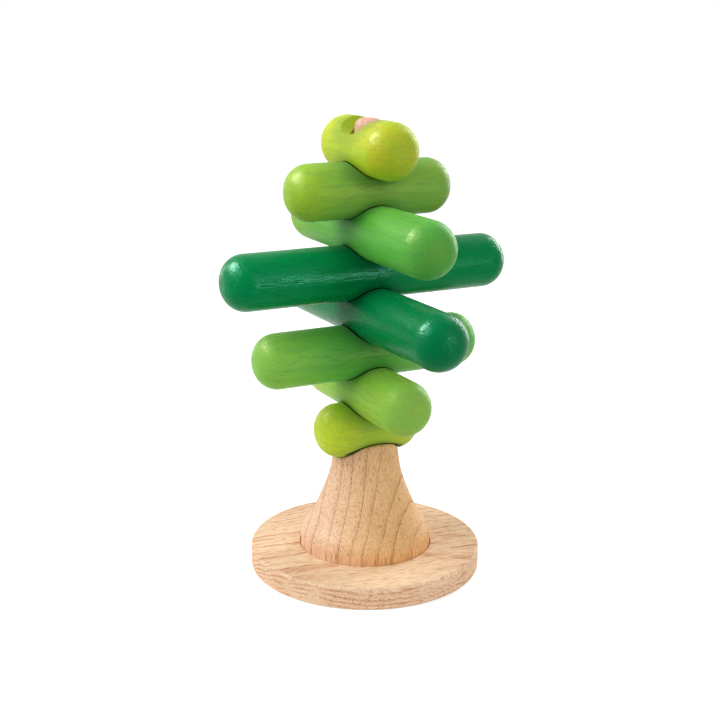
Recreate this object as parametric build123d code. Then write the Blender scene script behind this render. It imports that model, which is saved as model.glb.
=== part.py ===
from build123d import *
import os

# Stacking tree toy: eight round branches on a post that stands in a bell-shaped trunk on a round base.
# Millimetres, +Z up, origin at the centre of the base's underside.
# +X runs along the odd branches, which cross the even ones at right angles.

# base disc
disc_dia = 138.0
disc_thick = 13.2
disc_edge_round = 1.2
recess_depth = 2.5
recess_gap = 0.6
recess_edge_round = 0.4
post_floor = 4.0

# trunk
foot_dia = 78.2
foot_band = 6.5
neck_dia = 36.8
trunk_height = 68.2
crown_dia = 79.7
crown_edge_round = 2.0
# the flare between foot and neck: shares of the drop in radius, and of the height above the foot band
flare_shares = ((0.25, 0.19), (0.56, 0.40), (0.82, 0.63))
neck_lean_share = 0.13

# branches
bar_dia = 32.0
saddle_depth = 8.6
saddle_spare = 1.2
seat_gap = 0.3
saddle_edge_round = 0.5
end_flat_dia = 4.8
bore_gap = 2.0
bore_edge_round = 0.5
branch_1_length = 64.0
branch_2_length = 116.0
branch_3_length = 142.0
branch_4_length = 188.0
branch_5_length = 179.0
branch_6_length = 160.0
branch_7_length = 101.0
branch_8_length = 77.0

# post
post_dia = 16.0
post_tip_round = 4.5
post_rise = 8.5
glue_gap = 0.05

overrun = 5.0

branch_lengths = (
    branch_1_length,
    branch_2_length,
    branch_3_length,
    branch_4_length,
    branch_5_length,
    branch_6_length,
    branch_7_length,
    branch_8_length,
)

# sizes that follow from the ones above
bar_r = bar_dia / 2
# a trough is wider than the bar that lies in it, so the gap grows from the seat towards the edges
saddle_r = bar_r + saddle_spare
saddle_lift = saddle_spare - seat_gap
pitch = bar_dia - saddle_depth
recess_floor = disc_thick - recess_depth
first_axis = recess_floor + trunk_height - bar_r + pitch
last_axis = first_axis + pitch * (len(branch_lengths) - 1)
post_top = last_axis + bar_r - saddle_depth + post_rise
bore_r = post_dia / 2 + bore_gap
glue_r = post_dia / 2 + glue_gap


def turned(outline):
    """A body turned about the post's axis from the outline of its half."""
    return revolve(Plane.YZ * make_face(outline), Axis.Z)


def round_bar(length, radius, axis):
    """A plain round bar, centred on the origin and lying along the X or the Y axis."""
    turn = Rotation(0, 90, 0) if axis == "x" else Rotation(90, 0, 0)
    return turn * Cylinder(radius, length)


def cut_and_round(body, cutter, radius):
    """Cut the body and round the edges that the cut leaves, always in the same order."""
    before = body.edges()
    body -= cutter
    left = (body.edges() - before).sort_by(Axis.X).sort_by(Axis.Y).sort_by(Axis.Z)
    return fillet(left, radius)


def base_disc():
    """Round disc with a shallow recess for the trunk's foot and a blind hole for the post."""
    up = (Align.CENTER, Align.CENTER, Align.MIN)
    disc = Cylinder(disc_dia / 2, disc_thick, align=up)
    disc = fillet(disc.edges().filter_by(GeomType.CIRCLE), disc_edge_round)
    recess = Cylinder(foot_dia / 2 + recess_gap, recess_depth + overrun, align=up)
    before = disc.edges()
    disc -= Pos(0, 0, recess_floor) * recess
    rim = (disc.edges() - before).filter_by(GeomType.CIRCLE).sort_by(Axis.Z)[-1]
    disc = fillet(rim, recess_edge_round)
    hole = Cylinder(glue_r, recess_floor - post_floor + overrun, align=up)
    return disc - Pos(0, 0, post_floor) * hole


def trunk():
    """Bell-shaped turned cone whose rounded top has a trough for the first branch."""
    foot_r = foot_dia / 2
    neck_r = neck_dia / 2
    flare_height = trunk_height - foot_band
    drops = [drop * (foot_r - neck_r) for drop, rise in flare_shares]
    rises = [rise * flare_height for drop, rise in flare_shares]
    flare = [(foot_r - drop, foot_band + rise) for drop, rise in zip(drops, rises)]
    ends = ((0, 1), (-neck_lean_share, 1))
    side = Spline((foot_r, foot_band), *flare, (neck_r, trunk_height), tangents=ends)
    outline = Polyline((neck_r, trunk_height), (0, trunk_height), (0, 0), (foot_r, 0), (foot_r, foot_band))
    body = turned([side, outline])
    crown_r = crown_dia / 2
    up = (Align.CENTER, Align.CENTER, Align.MIN)
    block = Box(foot_dia, foot_dia, crown_r + overrun, align=up)
    crown = block - round_bar(foot_dia + overrun, crown_r, "y")
    body = cut_and_round(body, Pos(0, 0, trunk_height - crown_r) * crown, crown_edge_round)
    first_bar = round_bar(foot_dia, saddle_r, "x")
    trough_axis = first_axis + saddle_lift - recess_floor
    body = cut_and_round(body, Pos(0, 0, trough_axis) * first_bar, saddle_edge_round)
    body -= Cylinder(glue_r, trunk_height + overrun, align=up)
    return Pos(0, 0, recess_floor) * body


def post():
    """Dowel from the disc's blind hole up to a rounded tip in the last branch's trough."""
    rod = Cylinder(post_dia / 2, post_top - post_floor, align=(Align.CENTER, Align.CENTER, Align.MIN))
    rod = fillet(rod.edges().sort_by(Axis.Z)[-1], post_tip_round)
    return Pos(0, 0, post_floor) * rod


def branch(length):
    """Round bar along X with domed ends, a trough in its top for the next bar, and a bore for the post."""
    bar = round_bar(length, bar_r, "x")
    bar = fillet(bar.edges().filter_by(GeomType.CIRCLE), bar_r - end_flat_dia / 2)
    next_bar = round_bar(bar_dia + overrun, saddle_r, "y")
    bar = cut_and_round(bar, Pos(0, 0, pitch + saddle_lift) * next_bar, saddle_edge_round)
    return cut_and_round(bar, Cylinder(bore_r, bar_dia + overrun), bore_edge_round)


os.makedirs("parts", exist_ok=True)
export_step(base_disc(), "parts/base_disc.step")
export_step(trunk(), "parts/trunk.step")
export_step(post(), "parts/post.step")
for number, length in enumerate(branch_lengths, start=1):
    crossing = number % 2 == 0
    turn = Rotation(0, 0, 90) if crossing else Rotation(0, 0, 0)
    place = Pos(0, 0, first_axis + pitch * (number - 1))
    export_step(place * turn * branch(length), f"parts/branch_{number}.step")
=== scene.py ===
import math

import bpy
import numpy as np
from mathutils import Matrix, Vector


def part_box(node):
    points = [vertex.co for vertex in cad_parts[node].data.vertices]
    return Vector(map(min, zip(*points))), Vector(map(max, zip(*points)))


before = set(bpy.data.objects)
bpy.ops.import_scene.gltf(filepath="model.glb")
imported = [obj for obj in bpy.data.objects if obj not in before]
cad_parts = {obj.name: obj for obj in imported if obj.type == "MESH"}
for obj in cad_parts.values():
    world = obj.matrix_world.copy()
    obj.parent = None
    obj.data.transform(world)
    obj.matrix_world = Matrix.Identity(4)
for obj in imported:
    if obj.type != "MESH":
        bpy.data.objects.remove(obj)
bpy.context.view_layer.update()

# Camera
# The toy is seen from in front of its left side and a little above, so that one set of
# branches runs away to the right and the other comes forward to the right.
camera_place = (-0.3397, -0.6293, 0.3273)
camera_turn = math.radians(28.155)
camera_dip = math.radians(16.702)
camera_lean = math.radians(0.514)
focal_pixels = 1268.66
picture_pixels = 720
picture_middle = (362.05, 382.93)
sensor_width = 36.0
nearest_seen = 0.01

ahead = Vector((math.sin(camera_turn) * math.cos(camera_dip),
                math.cos(camera_turn) * math.cos(camera_dip), -math.sin(camera_dip)))
level_right = Vector((math.cos(camera_turn), -math.sin(camera_turn), 0))
level_up = level_right.cross(ahead)
lens_right = level_right * math.cos(camera_lean) + level_up * math.sin(camera_lean)
lens_up = level_up * math.cos(camera_lean) - level_right * math.sin(camera_lean)

camera_data = bpy.data.cameras.new("camera")
camera_data.sensor_width = sensor_width
camera_data.lens = focal_pixels / picture_pixels * sensor_width
camera_data.shift_x = (picture_pixels / 2 - picture_middle[0]) / picture_pixels
camera_data.shift_y = (picture_middle[1] - picture_pixels / 2) / picture_pixels
camera_data.clip_start = nearest_seen
camera = bpy.data.objects.new("camera", camera_data)
turned = Matrix((lens_right, lens_up, -ahead)).transposed().to_4x4()
camera.matrix_world = Matrix.Translation(camera_place) @ turned
bpy.context.scene.collection.objects.link(camera)
bpy.context.scene.camera = camera

# Studio
# A white card under the toy and an even white sky, with a large soft lamp on the left, a weaker
# one in front on the right and a narrow one behind on the right. The gleams light nothing: each
# shows only as a highlight, and stands where one of the photo's highlights comes from.
floor_half = 4.0
floor_drop = 0.0002
near_card = 0.92
far_card = 0.25
near_glow = 0.45
far_glow = 1.0
shadow_reach = (0.12, 0.45)
sky_light = 0.46
white = (1.0, 1.0, 1.0, 1.0)
toy_middle = (0, 0, 0.15)
front_right = (0.42, -1.15, 0.82)
# name, place, width and height in metres, watts, gleam only
lamps = (
    ("lamp_left", (-0.98, 0.30, 1.03), 1.1, 1.1, 11.6, False),
    ("gleam_left", (-0.79, 0.58, 1.05), 0.55, 0.55, 85.0, True),
    ("gleam_high_left", (-0.95, -0.05, 1.15), 0.3, 0.45, 20.0, True),
    ("lamp_front_right", front_right, 0.6, 0.6, 3.6, False),
    ("gleam_front_right", front_right, 0.3, 0.3, 2.0, True),
    ("gleam_front", (0.52, -1.18, 0.22), 0.18, 0.3, 11.0, True),
    ("lamp_behind_right", (1.18, 0.62, 0.80), 0.10, 0.95, 8.0, False),
    ("gleam_low_right", (1.35, 0.44, 0.42), 0.25, 1.0, 11.0, True),
    ("gleam_low_behind", (-0.33, 1.42, 0.14), 0.14, 0.5, 2.0, True),
)


class Wire:
    """One socket of a material. Sums written with it add Math nodes to the same material."""

    def __init__(self, socket):
        self.socket = socket

    def node(self, kind, settings=None, inputs=None, take=0):
        """Add a node of this kind: settings first, then the values or links of its sockets."""
        tree = self.socket.id_data
        made = tree.nodes.new(kind)
        for name, value in (settings or {}).items():
            setattr(made, name, value)
        for name, value in (inputs or {}).items():
            if isinstance(value, Wire):
                tree.links.new(value.socket, made.inputs[name])
            else:
                made.inputs[name].default_value = value
        return Wire(made.outputs[take])

    def math(self, operation, first, second):
        return self.node("ShaderNodeMath", {"operation": operation}, {0: first, 1: second})

    def __add__(self, other):
        return self.math("ADD", self, other)

    def __radd__(self, other):
        return self.math("ADD", other, self)

    def __sub__(self, other):
        return self.math("SUBTRACT", self, other)

    def __rsub__(self, other):
        return self.math("SUBTRACT", other, self)

    def __mul__(self, other):
        return self.math("MULTIPLY", self, other)

    def __rmul__(self, other):
        return self.math("MULTIPLY", other, self)

    def __truediv__(self, other):
        return self.math("DIVIDE", self, other)

    def __rtruediv__(self, other):
        return self.math("DIVIDE", other, self)

    def __mod__(self, other):
        return self.math("FLOORED_MODULO", self, other)

    def __rmod__(self, other):
        return self.math("FLOORED_MODULO", other, self)


def new_tree(owner):
    """The empty node tree of a material or a world."""
    owner.use_nodes = True
    owner.node_tree.nodes.clear()
    return owner.node_tree


def seen_plainly(tree):
    """1 for the rays by which the camera, mirror-like and clear surfaces see a thing, else 0."""
    path = tree.nodes.new("ShaderNodeLightPath")
    kinds = ("Is Camera Ray", "Is Glossy Ray", "Is Transmission Ray")
    camera_ray, glossy_ray, clear_ray = (Wire(path.outputs[kind]) for kind in kinds)
    return camera_ray + glossy_ray + clear_ray


def object_place(tree):
    """A place in the piece's own space, in metres."""
    return Wire(tree.nodes.new("ShaderNodeTexCoord").outputs["Object"])


def length_of(arrow):
    """The length of a vector."""
    return arrow.node("ShaderNodeVectorMath", {"operation": "LENGTH"}, {0: arrow}, take="Value")


def slope(value, span, near, far):
    """The near value up to the span's start, the far one past its end, and an even slope between."""
    return value.node("ShaderNodeMapRange", inputs={
        "Value": value, "From Min": span[0], "From Max": span[1], "To Min": near, "To Max": far})


def softbox(name, place, width, height, watts, gleam_only):
    """A soft lamp of this width and height, turned upright to face the toy's middle. With
    gleam_only it shows in shiny surfaces and lights nothing."""
    lamp = bpy.data.lights.new(name, "AREA")
    lamp.shape = "RECTANGLE"
    lamp.size = width
    lamp.size_y = height
    lamp.energy = watts
    holder = bpy.data.objects.new(name, lamp)
    holder.location = place
    holder.rotation_euler = (Vector(toy_middle) - Vector(place)).to_track_quat("-Z", "Y").to_euler()
    holder.visible_diffuse = not gleam_only
    bpy.context.scene.collection.objects.link(holder)


card = bpy.data.materials.new("white_card")
card_tree = new_tree(card)
card_end = card_tree.nodes.new("ShaderNodeOutputMaterial")
seen = seen_plainly(card_tree)
card_reach = length_of(object_place(card_tree))
card_tone = slope(card_reach, shadow_reach, near_card, far_card)
card_glow = slope(card_reach, shadow_reach, near_glow, far_glow)
card_paint = seen.node("ShaderNodeBsdfDiffuse", inputs={"Color": card_tone})
card_shine = seen.node("ShaderNodeEmission", inputs={"Strength": seen * card_glow})
card_both = seen.node("ShaderNodeAddShader", inputs={0: card_paint, 1: card_shine})
card_tree.links.new(card_both.socket, card_end.inputs["Surface"])

corners = np.array([(-1, -1), (1, -1), (1, 1), (-1, 1)]) * floor_half
floor_points = np.column_stack([corners, np.full(len(corners), -floor_drop)])
floor_mesh = bpy.data.meshes.new("floor")
floor_mesh.from_pydata(floor_points.tolist(), [], [(0, 1, 2, 3)])
floor_mesh.materials.append(card)
floor = bpy.data.objects.new("floor", floor_mesh)
bpy.context.scene.collection.objects.link(floor)

world = bpy.data.worlds.new("studio")
bpy.context.scene.world = world
world_tree = new_tree(world)
world_end = world_tree.nodes.new("ShaderNodeOutputWorld")
seen = seen_plainly(world_tree)
sky = seen.node("ShaderNodeBackground", inputs={
    "Color": white, "Strength": sky_light + seen * (1 - sky_light)})
world_tree.links.new(sky.socket, world_end.inputs["Surface"])

for lamp_row in lamps:
    softbox(*lamp_row)

bpy.context.scene.view_settings.view_transform = "Standard"

# Base disc
# A turned disc of pale rubberwood under clear satin lacquer, its grain running along the odd
# branches. The trunk's foot sits in a shallow recess in its top.
millimetres = (1000, 1000, 1000)
# the waves of a cloud are to the millimetre, along the grain and both ways across it
sway_waves = (0.007, 0.035, 0.035)
faint_waves = (0.02, 0.10, 0.10)
ground_waves = (0.006, 0.07, 0.07)
fibre_waves = (0.04, 0.9, 0.9)
pore_waves = (0.16, 2.0, 2.0)
# shares of a year's growth
late_wood_start = 0.45
late_wood_peak = 0.92
bare_sheen = 0.10
bare_bump_share = 0.5
bare_bump_metres = 0.00006
pore_roughness = 0.2


def linear(red, green, blue):
    """A screen colour of 0 to 255 as light: each share to the power of 2.4 past its toe."""
    toe, toe_slope, lift, power = 0.04045, 12.92, 0.055, 2.4
    shares = np.array([red, green, blue]) / 255
    light = np.where(shares <= toe, shares / toe_slope, ((shares + lift) / (1 + lift)) ** power)
    return (*light.tolist(), 1.0)


def new_material(name):
    """A material with a shader of its own."""
    material = bpy.data.materials.new(name)
    material.use_nodes = True
    return material


def grain_space(material, grain, heart, heart_away, start=0):
    """Millimetres with X along the grain from a start and Y across it, measured from the tree's
    heart: the piece's own space, turned by the matrix of those directions and then shifted."""
    along = Vector(grain).normalized()
    side = along.cross(Vector(heart)).normalized()
    turn = Matrix((along, side.cross(along), side)).to_euler()
    place = object_place(material.node_tree)
    return place.node("ShaderNodeMapping", inputs={
        "Vector": place, "Location": (start, -heart_away, 0), "Rotation": turn, "Scale": millimetres})


def stretched(space, stretch):
    """The space with each of its directions stretched by this much."""
    return space.node("ShaderNodeVectorMath", {"operation": "MULTIPLY"}, {0: space, 1: stretch})


def cloud(space, waves, detail, roughness=0.5):
    """Soft random tone from 0 to 1, with so many waves to the millimetre each way."""
    spread = stretched(space, waves)
    return spread.node("ShaderNodeTexNoise", inputs={
        "Vector": spread, "Scale": 1.0, "Detail": detail, "Roughness": roughness})


def fade(value, low, high):
    """0 below the low value, 1 above the high one, and an even S between them."""
    return value.node("ShaderNodeMapRange", {"interpolation_type": "SMOOTHSTEP"},
                      {"Value": value, "From Min": low, "From Max": high})


def blend(share, first, second):
    """The first colour where the share is 0, the second where it is 1."""
    return share.node("ShaderNodeMix", {"data_type": "RGBA"}, {0: share, 6: first, 7: second}, take=2)


def from_heart(space):
    """How far a place is from the tree's heart, across the grain."""
    return length_of(stretched(space, (0, 1, 1)))


def year_bands(space, gap, sway):
    """Late wood: the distance from the heart, swayed by a slow cloud, in even steps, each band
    dark at its outer side and fading inwards, and fainter here and there."""
    slow = cloud(space, sway_waves, detail=2.0)
    step = ((from_heart(space) + slow * sway) / gap) % 1.0
    band = fade(step, late_wood_start, late_wood_peak) * (1 - fade(step, late_wood_peak, 1.0))
    return band * fade(cloud(space, faint_waves, detail=1.0), 0.3, 0.65)


def pores(space, low, high):
    """Fine dark tubes along the grain: dashes on its side, flecks on a slope, dots on its end."""
    return fade(cloud(space, pore_waves, detail=1.0), low, high)


def feed_shader(material, colour, roughness, height, bump_share, bump_metres, sheen):
    """Give a material's shader its colour, roughness and bumps, and say how much it mirrors."""
    shader = material.node_tree.nodes["Principled BSDF"]
    bump = height.node("ShaderNodeBump", inputs={
        "Height": height, "Strength": bump_share, "Distance": bump_metres})
    for wire, socket in ((colour, "Base Color"), (roughness, "Roughness"), (bump, "Normal")):
        material.node_tree.links.new(wire.socket, shader.inputs[socket])
    shader.inputs["Specular IOR Level"].default_value = sheen
    return shader


def bare_wood(material, space, lines, pale, brown, line_share, speckle, satin):
    """Lacquered rubberwood: brown year lines, slow bands, fine fibres and pores in a pale ground."""
    bands = fade(cloud(space, ground_waves, detail=2.0), 0.4, 0.7)
    fibres = fade(cloud(space, fibre_waves, detail=2.0, roughness=0.6), 0.4, 0.75) * speckle
    holes = pores(space, 0.51, 0.66) * speckle
    brownness = lines * line_share + bands * 0.10 + fibres * 0.15 + holes * 0.4
    colour = blend(brownness, pale, brown)
    height = 0 - (holes * 0.8 + lines * 0.3 + fibres * 0.3)
    roughness = satin + holes * pore_roughness
    feed_shader(material, colour, roughness, height, bare_bump_share, bare_bump_metres, bare_sheen)


def finish_with(node, material):
    """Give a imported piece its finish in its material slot."""
    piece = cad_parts[node]
    piece.data.materials.clear()
    piece.data.materials.append(material)


disc_wood = new_material("disc_wood")
disc_space = grain_space(disc_wood, grain=(0.99, -0.13, 0), heart=(0, -0.5, -0.85), heart_away=90)
disc_bands = year_bands(disc_space, gap=3.0, sway=16)
bare_wood(disc_wood, disc_space, disc_bands, pale=linear(255, 224, 187), brown=linear(198, 112, 58),
          line_share=0.5, speckle=1.3, satin=0.5)
finish_with("base_disc", disc_wood)

# Trunk
# A bell turned from one block with the grain upright, so that the year lines run down its
# side and spread towards the foot. It is lacquered like the disc and pinned to it by the post.
ring_sway_waves = (0.02, 0.08, 0.08)
ring_faint_waves = (0.03, 0.10, 0.10)
ring_band = 2.5
ring_line = 0.4
ring_edge = 0.3
# millimetres from the tree's heart
trunk_rings = (262.0, 271.5, 279.7, 291.2, 299.0, 306.9, 313.3, 321.4, 327.6, 335.1)
# yellower away from the heart: wood colour, and also painted shade on the side away from lamp_left
yellow_shade_start = 275.0
yellow_shade_full = 330.0


def year_lines(space, rings, sway):
    """Late wood at these distances from the heart, swayed by a slow cloud: each a thin dark line
    with a faint band on its inner side."""
    slow = cloud(space, ring_sway_waves, detail=1.0)
    away = from_heart(space) + (slow - 0.5) * sway
    total = 0
    for ring in rings:
        band = fade(away, ring - ring_band, ring) * 0.3 + fade(away, ring - ring_line, ring) * 0.7
        total = band * (1 - fade(away, ring, ring + ring_edge)) + total
    return total * fade(cloud(space, ring_faint_waves, detail=1.0), 0.2, 0.55)


trunk_wood = new_material("trunk_wood")
trunk_space = grain_space(trunk_wood, grain=(0.008, -0.009, 1), heart=(-0.68, 0.733, 0), heart_away=300)
trunk_lines = year_lines(trunk_space, trunk_rings, sway=2.5)
# paler and pinker on the side towards lamp_left as painted light, yellower on the far side as painted
# shade
yellow_and_painted_shade = fade(from_heart(trunk_space), yellow_shade_start, yellow_shade_full)
trunk_pale = blend(yellow_and_painted_shade, linear(255, 216, 180), linear(250, 202, 140))
bare_wood(trunk_wood, trunk_space, trunk_lines, pale=trunk_pale, brown=linear(174, 90, 56),
          line_share=0.6, speckle=1.15, satin=0.5)
finish_with("trunk", trunk_wood)

# Post
# A turned dowel of the same wood, glued into the disc through the trunk, with a rounded tip
# that stands just above the trough of the top branch.
post_wood = new_material("post_wood")
post_space = grain_space(post_wood, grain=(0, 0, 1), heart=(-1, 0.5, 0), heart_away=20)
post_bands = year_bands(post_space, gap=4.0, sway=4)
bare_wood(post_wood, post_space, post_bands, pale=linear(250, 202, 172), brown=linear(190, 122, 92),
          line_share=0.2, speckle=0.9, satin=0.55)
finish_with("post", post_wood)

# Branches
# Round bars of the same wood, domed at both ends and troughed across the middle, dipped in
# clear green stain that lets the grain show, then lacquered. They are only threaded on the post.
light_lacquer = (0.38, (1.0, 0.9, 0.35, 1.0))
dark_lacquer = (0.24, (0.3, 1.0, 0.8, 1.0))
# from the lowest bar up: its stain, the stain at the end towards lamp_left, where it is painted light,
# and its lacquer, which is a roughness and the tint of its highlights
stains = (
    ((202, 226, 66), (214, 240, 56), light_lacquer),
    ((162, 214, 72), (212, 230, 62), light_lacquer),
    ((111, 196, 76), (148, 214, 82), light_lacquer),
    ((0, 134, 68), (0, 148, 80), dark_lacquer),
    ((0, 140, 70), (0, 148, 78), dark_lacquer),
    ((102, 189, 66), (158, 214, 66), light_lacquer),
    ((136, 186, 70), (172, 217, 56), light_lacquer),
    ((208, 221, 34), (236, 242, 24), light_lacquer),
)
# painted shadow: the colour of the dark line drawn along the edge of each bar's seat
seam_shadow_colour = linear(26, 20, 6)
bar_heart = (0.3, 0.4, -1)
bar_heart_away = 40
bar_year = 5.5
bar_sway = 8
blotch_waves = (0.03, 0.06, 0.06)
bar_fibre_waves = (0.035, 0.8, 0.8)
sanding_waves = (0.7, 1.3, 1.3)
stained_sheen = 0.09
stained_bump_share = 0.8
stained_bump_metres = 0.00022
shade_shares = (0.4, 0.45)
# the strength of the painted shadow line along each seat
seam_shadow_share = 0.92
# the share of half a bar's length from its middle where the painted light towards its lit end begins
painted_lit_end_share = 0.3

# lengths in millimetres
stock_step = 61
crown_radius = 39.85
neck_radius = 18.4
bar_radius = 16.0
pitch = (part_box("branch_2")[0][2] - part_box("branch_1")[0][2]) * millimetres[2]
# the depth of the painted shade at a bar's end away from lamp_left
painted_shade_end_depth = 16
shade_below = 9
shade_above = 12
# how far past a seat's reach the painted shadow line fades out
seam_shadow_end = 0.6
# how far inside a seat's edge its painted shadow line begins and is full, and how far outside it ends
seam_shadow_inside = (2.2, 1.2)
seam_shadow_outside = (0.1, 0.7)
# the radius of what a bar lies on, and how far the seat reaches along the bar
trunk_seat = (crown_radius, neck_radius)
bar_seat = (bar_radius, bar_radius)


def from_crossing(from_middle, material, crossing_height):
    """How far a place on a bar is from the axis of a round piece that crosses it at that height."""
    scaled = stretched(object_place(material.node_tree), millimetres)
    height = scaled.node("ShaderNodeSeparateXYZ", inputs={"Vector": scaled}, take="Z") - crossing_height
    return length_of(from_middle.node("ShaderNodeCombineXYZ", inputs={"X": from_middle, "Y": height}))


def stain_colour(space, from_middle, half, fibres, holes, stain, lit_end_stain):
    """Clear stain on wood: yellower in slow blotches and darker in lines, fibres and pores, with
    painted light towards the end where the grain starts, near lamp_left, and painted shade at the other
    end."""
    lines = year_bands(space, bar_year, bar_sway)
    blotches = fade(cloud(space, blotch_waves, detail=2.0), 0.35, 0.65)
    # painted shade at the end away from lamp_left, painted light at the end towards it
    painted_shade_end = fade(from_middle, half - painted_shade_end_depth, half)
    painted_lit_end = fade(0 - from_middle, half * painted_lit_end_share, half)
    red, green, blue = stain
    cool = linear(red * 0.97, green * 1.03, blue * 1.08)
    warm = linear(red * 1.05, green * 1.02, blue * 1.02)
    dark = linear(red * 0.56, green * 0.56, blue * 0.9 + red * 0.3)
    even = blend(painted_lit_end, blend(blotches, cool, warm), linear(*lit_end_stain))
    return blend(lines * 0.08 + fibres * 0.14 + holes * 0.25 + painted_shade_end * 0.14, even, dark)


def seat_shade(from_lower, from_upper, seat_radius):
    """How strongly a bar is shaded beside the piece that it lies on and the bar that lies on it."""
    below = 1 - fade(from_lower, seat_radius, seat_radius + shade_below)
    above = 1 - fade(from_upper, bar_radius, bar_radius + shade_above)
    return below * shade_shares[0] + above * shade_shares[1]


def seat_shadow_line(from_lower, from_middle, seat_radius, reach):
    """The thin painted shadow line along the edge of a bar's seat, out to its reach each way."""
    begin, full = (seat_radius - depth for depth in seam_shadow_inside)
    fading, gone = (seat_radius + depth for depth in seam_shadow_outside)
    line = fade(from_lower, begin, full) * (1 - fade(from_lower, fading, gone))
    beyond = from_middle.math("ABSOLUTE", from_middle, 0)
    return line * (1 - fade(beyond, reach, reach + seam_shadow_end)) * seam_shadow_share


def meeting_colour(wood, stained, from_middle, axis_height, seat, stain):
    """A bar's colour with painted shade and a painted shadow line, where it meets the pieces below and
    above it.
    """
    seat_radius, reach = seat
    from_lower = from_crossing(from_middle, wood, axis_height - pitch - (seat_radius - bar_radius))
    from_upper = from_crossing(from_middle, wood, axis_height + pitch)
    red, green, blue = stain
    shaded = linear(red * 0.5, green * 0.7, blue * 1.05)
    with_painted_shade = blend(seat_shade(from_lower, from_upper, seat_radius), stained, shaded)
    return blend(seat_shadow_line(from_lower, from_middle, seat_radius, reach), with_painted_shade, seam_shadow_colour)


def bar_measures(node):
    """Half a bar's length and the height of its axis."""
    low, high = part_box(node)
    half = max(high[0] - low[0], high[1] - low[1]) / 2 * millimetres[0]
    heights = [corner.co.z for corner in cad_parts[node].data.vertices]
    return half, (min(heights) + max(heights)) / 2 * millimetres[2]


def stained_bar(number, stain, lit_end_stain, lacquer):
    """Dress one bar, which is cut from a place of its own along one stock. Even bars run from the
    back to the front, odd ones from left to right, and the first lies on the trunk."""
    node = f"branch_{number}"
    half, axis_height = bar_measures(node)
    grain = (0, -1, 0) if number % 2 == 0 else (1, 0, 0)
    seat = trunk_seat if number == 1 else bar_seat
    start = stock_step * number
    wood = new_material(f"stain_{number}")
    space = grain_space(wood, grain, bar_heart, bar_heart_away, start)
    from_middle = space.node("ShaderNodeSeparateXYZ", inputs={"Vector": space}) - start
    fibres = fade(cloud(space, bar_fibre_waves, detail=2.0, roughness=0.6), 0.3, 0.8)
    holes = pores(space, 0.60, 0.70)
    stained = stain_colour(space, from_middle, half, fibres, holes, stain, lit_end_stain)
    colour = meeting_colour(wood, stained, from_middle, axis_height, seat, stain)
    height = cloud(space, sanding_waves, detail=1.0) - (holes * 0.5 + fibres * 0.3)
    satin, shine = lacquer
    shader = feed_shader(wood, colour, satin + holes * pore_roughness, height, stained_bump_share,
                         stained_bump_metres, stained_sheen)
    shader.inputs["Specular Tint"].default_value = shine
    finish_with(node, wood)


for number, stain_row in enumerate(stains, start=1):
    stained_bar(number, *stain_row)
